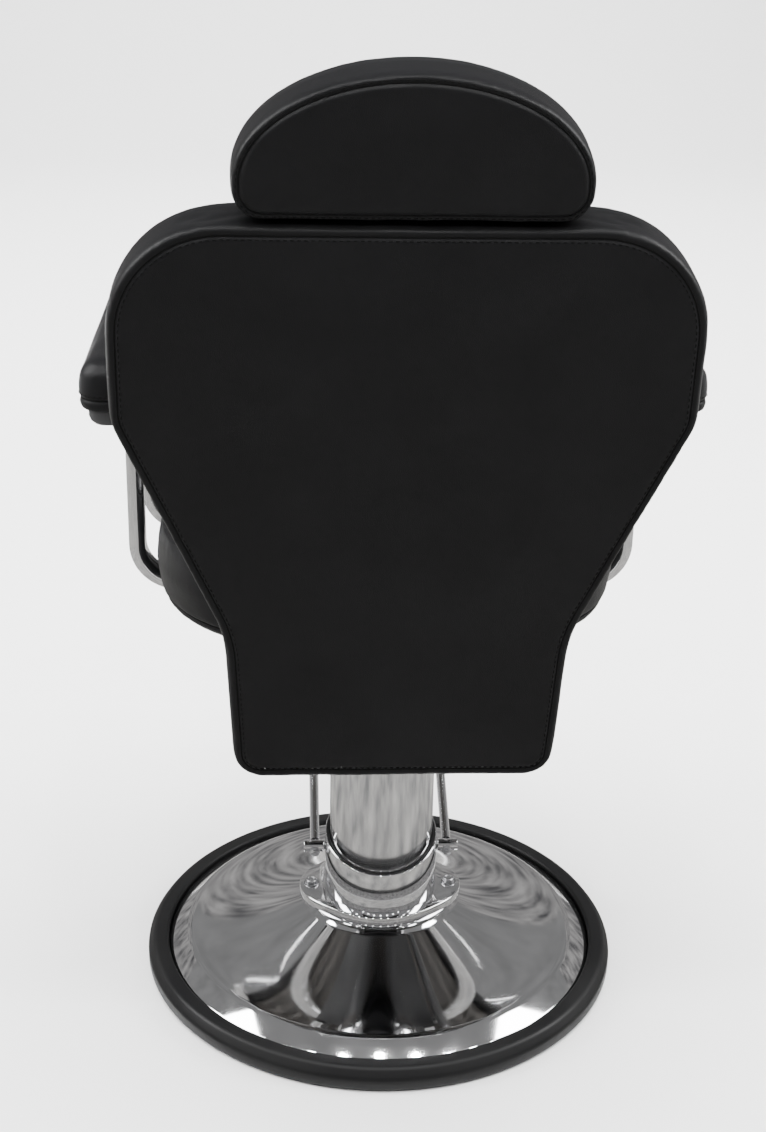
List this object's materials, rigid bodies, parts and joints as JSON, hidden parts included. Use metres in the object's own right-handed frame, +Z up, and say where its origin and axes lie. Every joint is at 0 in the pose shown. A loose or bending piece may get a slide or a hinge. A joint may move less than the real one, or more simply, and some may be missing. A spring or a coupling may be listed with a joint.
{
  "type": "styling chair",
  "caption": "Reclining salon chair: round chromed base with rubber ring, hydraulic column with foot pedal, padded seat, arms, leaning back and sliding half-moon headrest.",
  "frame": {"origin": "point on the floor on the column's axis, under the base plate", "axes": "+Z up; -Y the way the sitter faces; +X to the sitter's left"},
  "size_m": [0.69, 0.8534, 1.1625],
  "materials": {
    "chrome": "mirror plated",
    "steel": "turned",
    "black_paint": "semi-gloss black",
    "rubber": "matt moulded",
    "vinyl": "soft black vinyl, fine grain",
    "plywood": "black-stained plywood",
    "plastic": "black moulded"
  },
  "bodies": {
    "base": {"base_rubber_ring": "rubber", "base_floor_plate": "black_paint", "base_bell": "chrome", "pump_flange": "chrome", "flange_bolt_left": "steel", "flange_bolt_right": "steel", "pump_collar": "chrome", "collar_seal": "rubber", "pump_cylinder": "steel", "gland_nut": "steel", "plunger_spring": "steel"},
    "pedal": {"rocker_shaft": "steel", "rocker_cam": "steel", "pedal_hub_left": "chrome", "pedal_hub_right": "chrome", "pedal_nut_left": "steel", "pedal_nut_right": "steel", "pedal_bar": "chrome", "pedal_sleeve": "rubber"},
    "plunger": {"pump_plunger": "steel"},
    "lift": {"piston_ram": "chrome", "column_cover": "chrome", "column_cap": "chrome", "thrust_bearing": "steel"},
    "seat": {"swivel_socket": "steel", "swivel_plate": "black_paint", "seat_rail_left": "black_paint", "seat_rail_right": "black_paint", "seat_board": "plywood", "seat_cushion": "vinyl", "arm_frame_left": "chrome", "arm_frame_right": "chrome", "arm_board_left": "plastic", "arm_board_right": "plastic", "arm_pad_left": "vinyl", "arm_pad_right": "vinyl", "hinge_plate_left": "black_paint", "hinge_plate_right": "black_paint", "hinge_pin_left": "steel", "hinge_pin_right": "steel", "footrest_bar": "chrome", "footrest_tread": "rubber", "release_head": "black_paint"},
    "lever": {"recline_lever": "chrome", "lever_grip": "plastic"},
    "gas_rod": {"gas_spring_rod": "chrome"},
    "gas_cylinder": {"gas_spring_cylinder": "black_paint"},
    "back": {"back_rear_panel": "vinyl", "back_board": "plywood", "back_cushion": "vinyl", "headrest_guide_left": "plastic", "headrest_guide_right": "plastic", "back_bracket_left": "black_paint", "back_bracket_right": "black_paint"},
    "headrest": {"headrest_cushion": "vinyl", "headrest_board": "plywood", "headrest_post_left": "chrome", "headrest_post_right": "chrome"}
  },
  "joints": [
    {"name": "pedal_press", "type": "hinge", "parent": "base", "child": "pedal", "pos_m": [0, 0, 0.15], "axis": [1, 0, 0], "range_deg": [0, 24], "stiffness_Nm_per_rad": 14, "springref_deg": -17.19},
    {"name": "plunger_slide", "type": "slide", "parent": "base", "child": "plunger", "axis": [0, 0, 1], "range_m": [0, 0.0152], "deforming": ["plunger_spring"]},
    {"name": "lift_slide", "type": "slide", "parent": "base", "child": "lift", "axis": [0, 0, 1], "range_m": [0, 0.15]},
    {"name": "seat_swivel", "type": "hinge", "parent": "lift", "child": "seat", "pos_m": [0, 0, 0.4113], "axis": [0, 0, 1], "continuous": true},
    {"name": "back_recline", "type": "hinge", "parent": "seat", "child": "back", "pos_m": [0, 0.15, 0.47], "axis": [-1, 0, 0], "range_deg": [0, 42]},
    {"name": "gas_spring_swing", "type": "hinge", "parent": "seat", "child": "gas_rod", "pos_m": [-0.135, -0.19, 0.437], "axis": [1, 0, 0], "range_deg": [0, 2.4]},
    {"name": "gas_spring_slide", "type": "slide", "parent": "gas_rod", "child": "gas_cylinder", "axis": [0, 0.9979, -0.0646], "range_m": [-0.04, 0]},
    {"name": "lever_pull", "type": "hinge", "parent": "seat", "child": "lever", "pos_m": [-0.1493, -0.202, 0.4466], "axis": [-1, 0, 0], "range_deg": [0, 12], "stiffness_Nm_per_rad": 3, "springref_deg": -14.32},
    {"name": "headrest_slide", "type": "slide", "parent": "back", "child": "headrest", "axis": [0, 0.1564, 0.9877], "range_m": [0, 0.08]}
  ],
  "couplings": [
    {"joint": "plunger_slide", "follows": "pedal_press", "m_per_rad": 0.036},
    {"joint": "gas_spring_swing", "follows": "back_recline", "ratio": 0.0524},
    {"joint": "gas_spring_slide", "follows": "back_recline", "m_per_rad": -0.051}
  ]
}
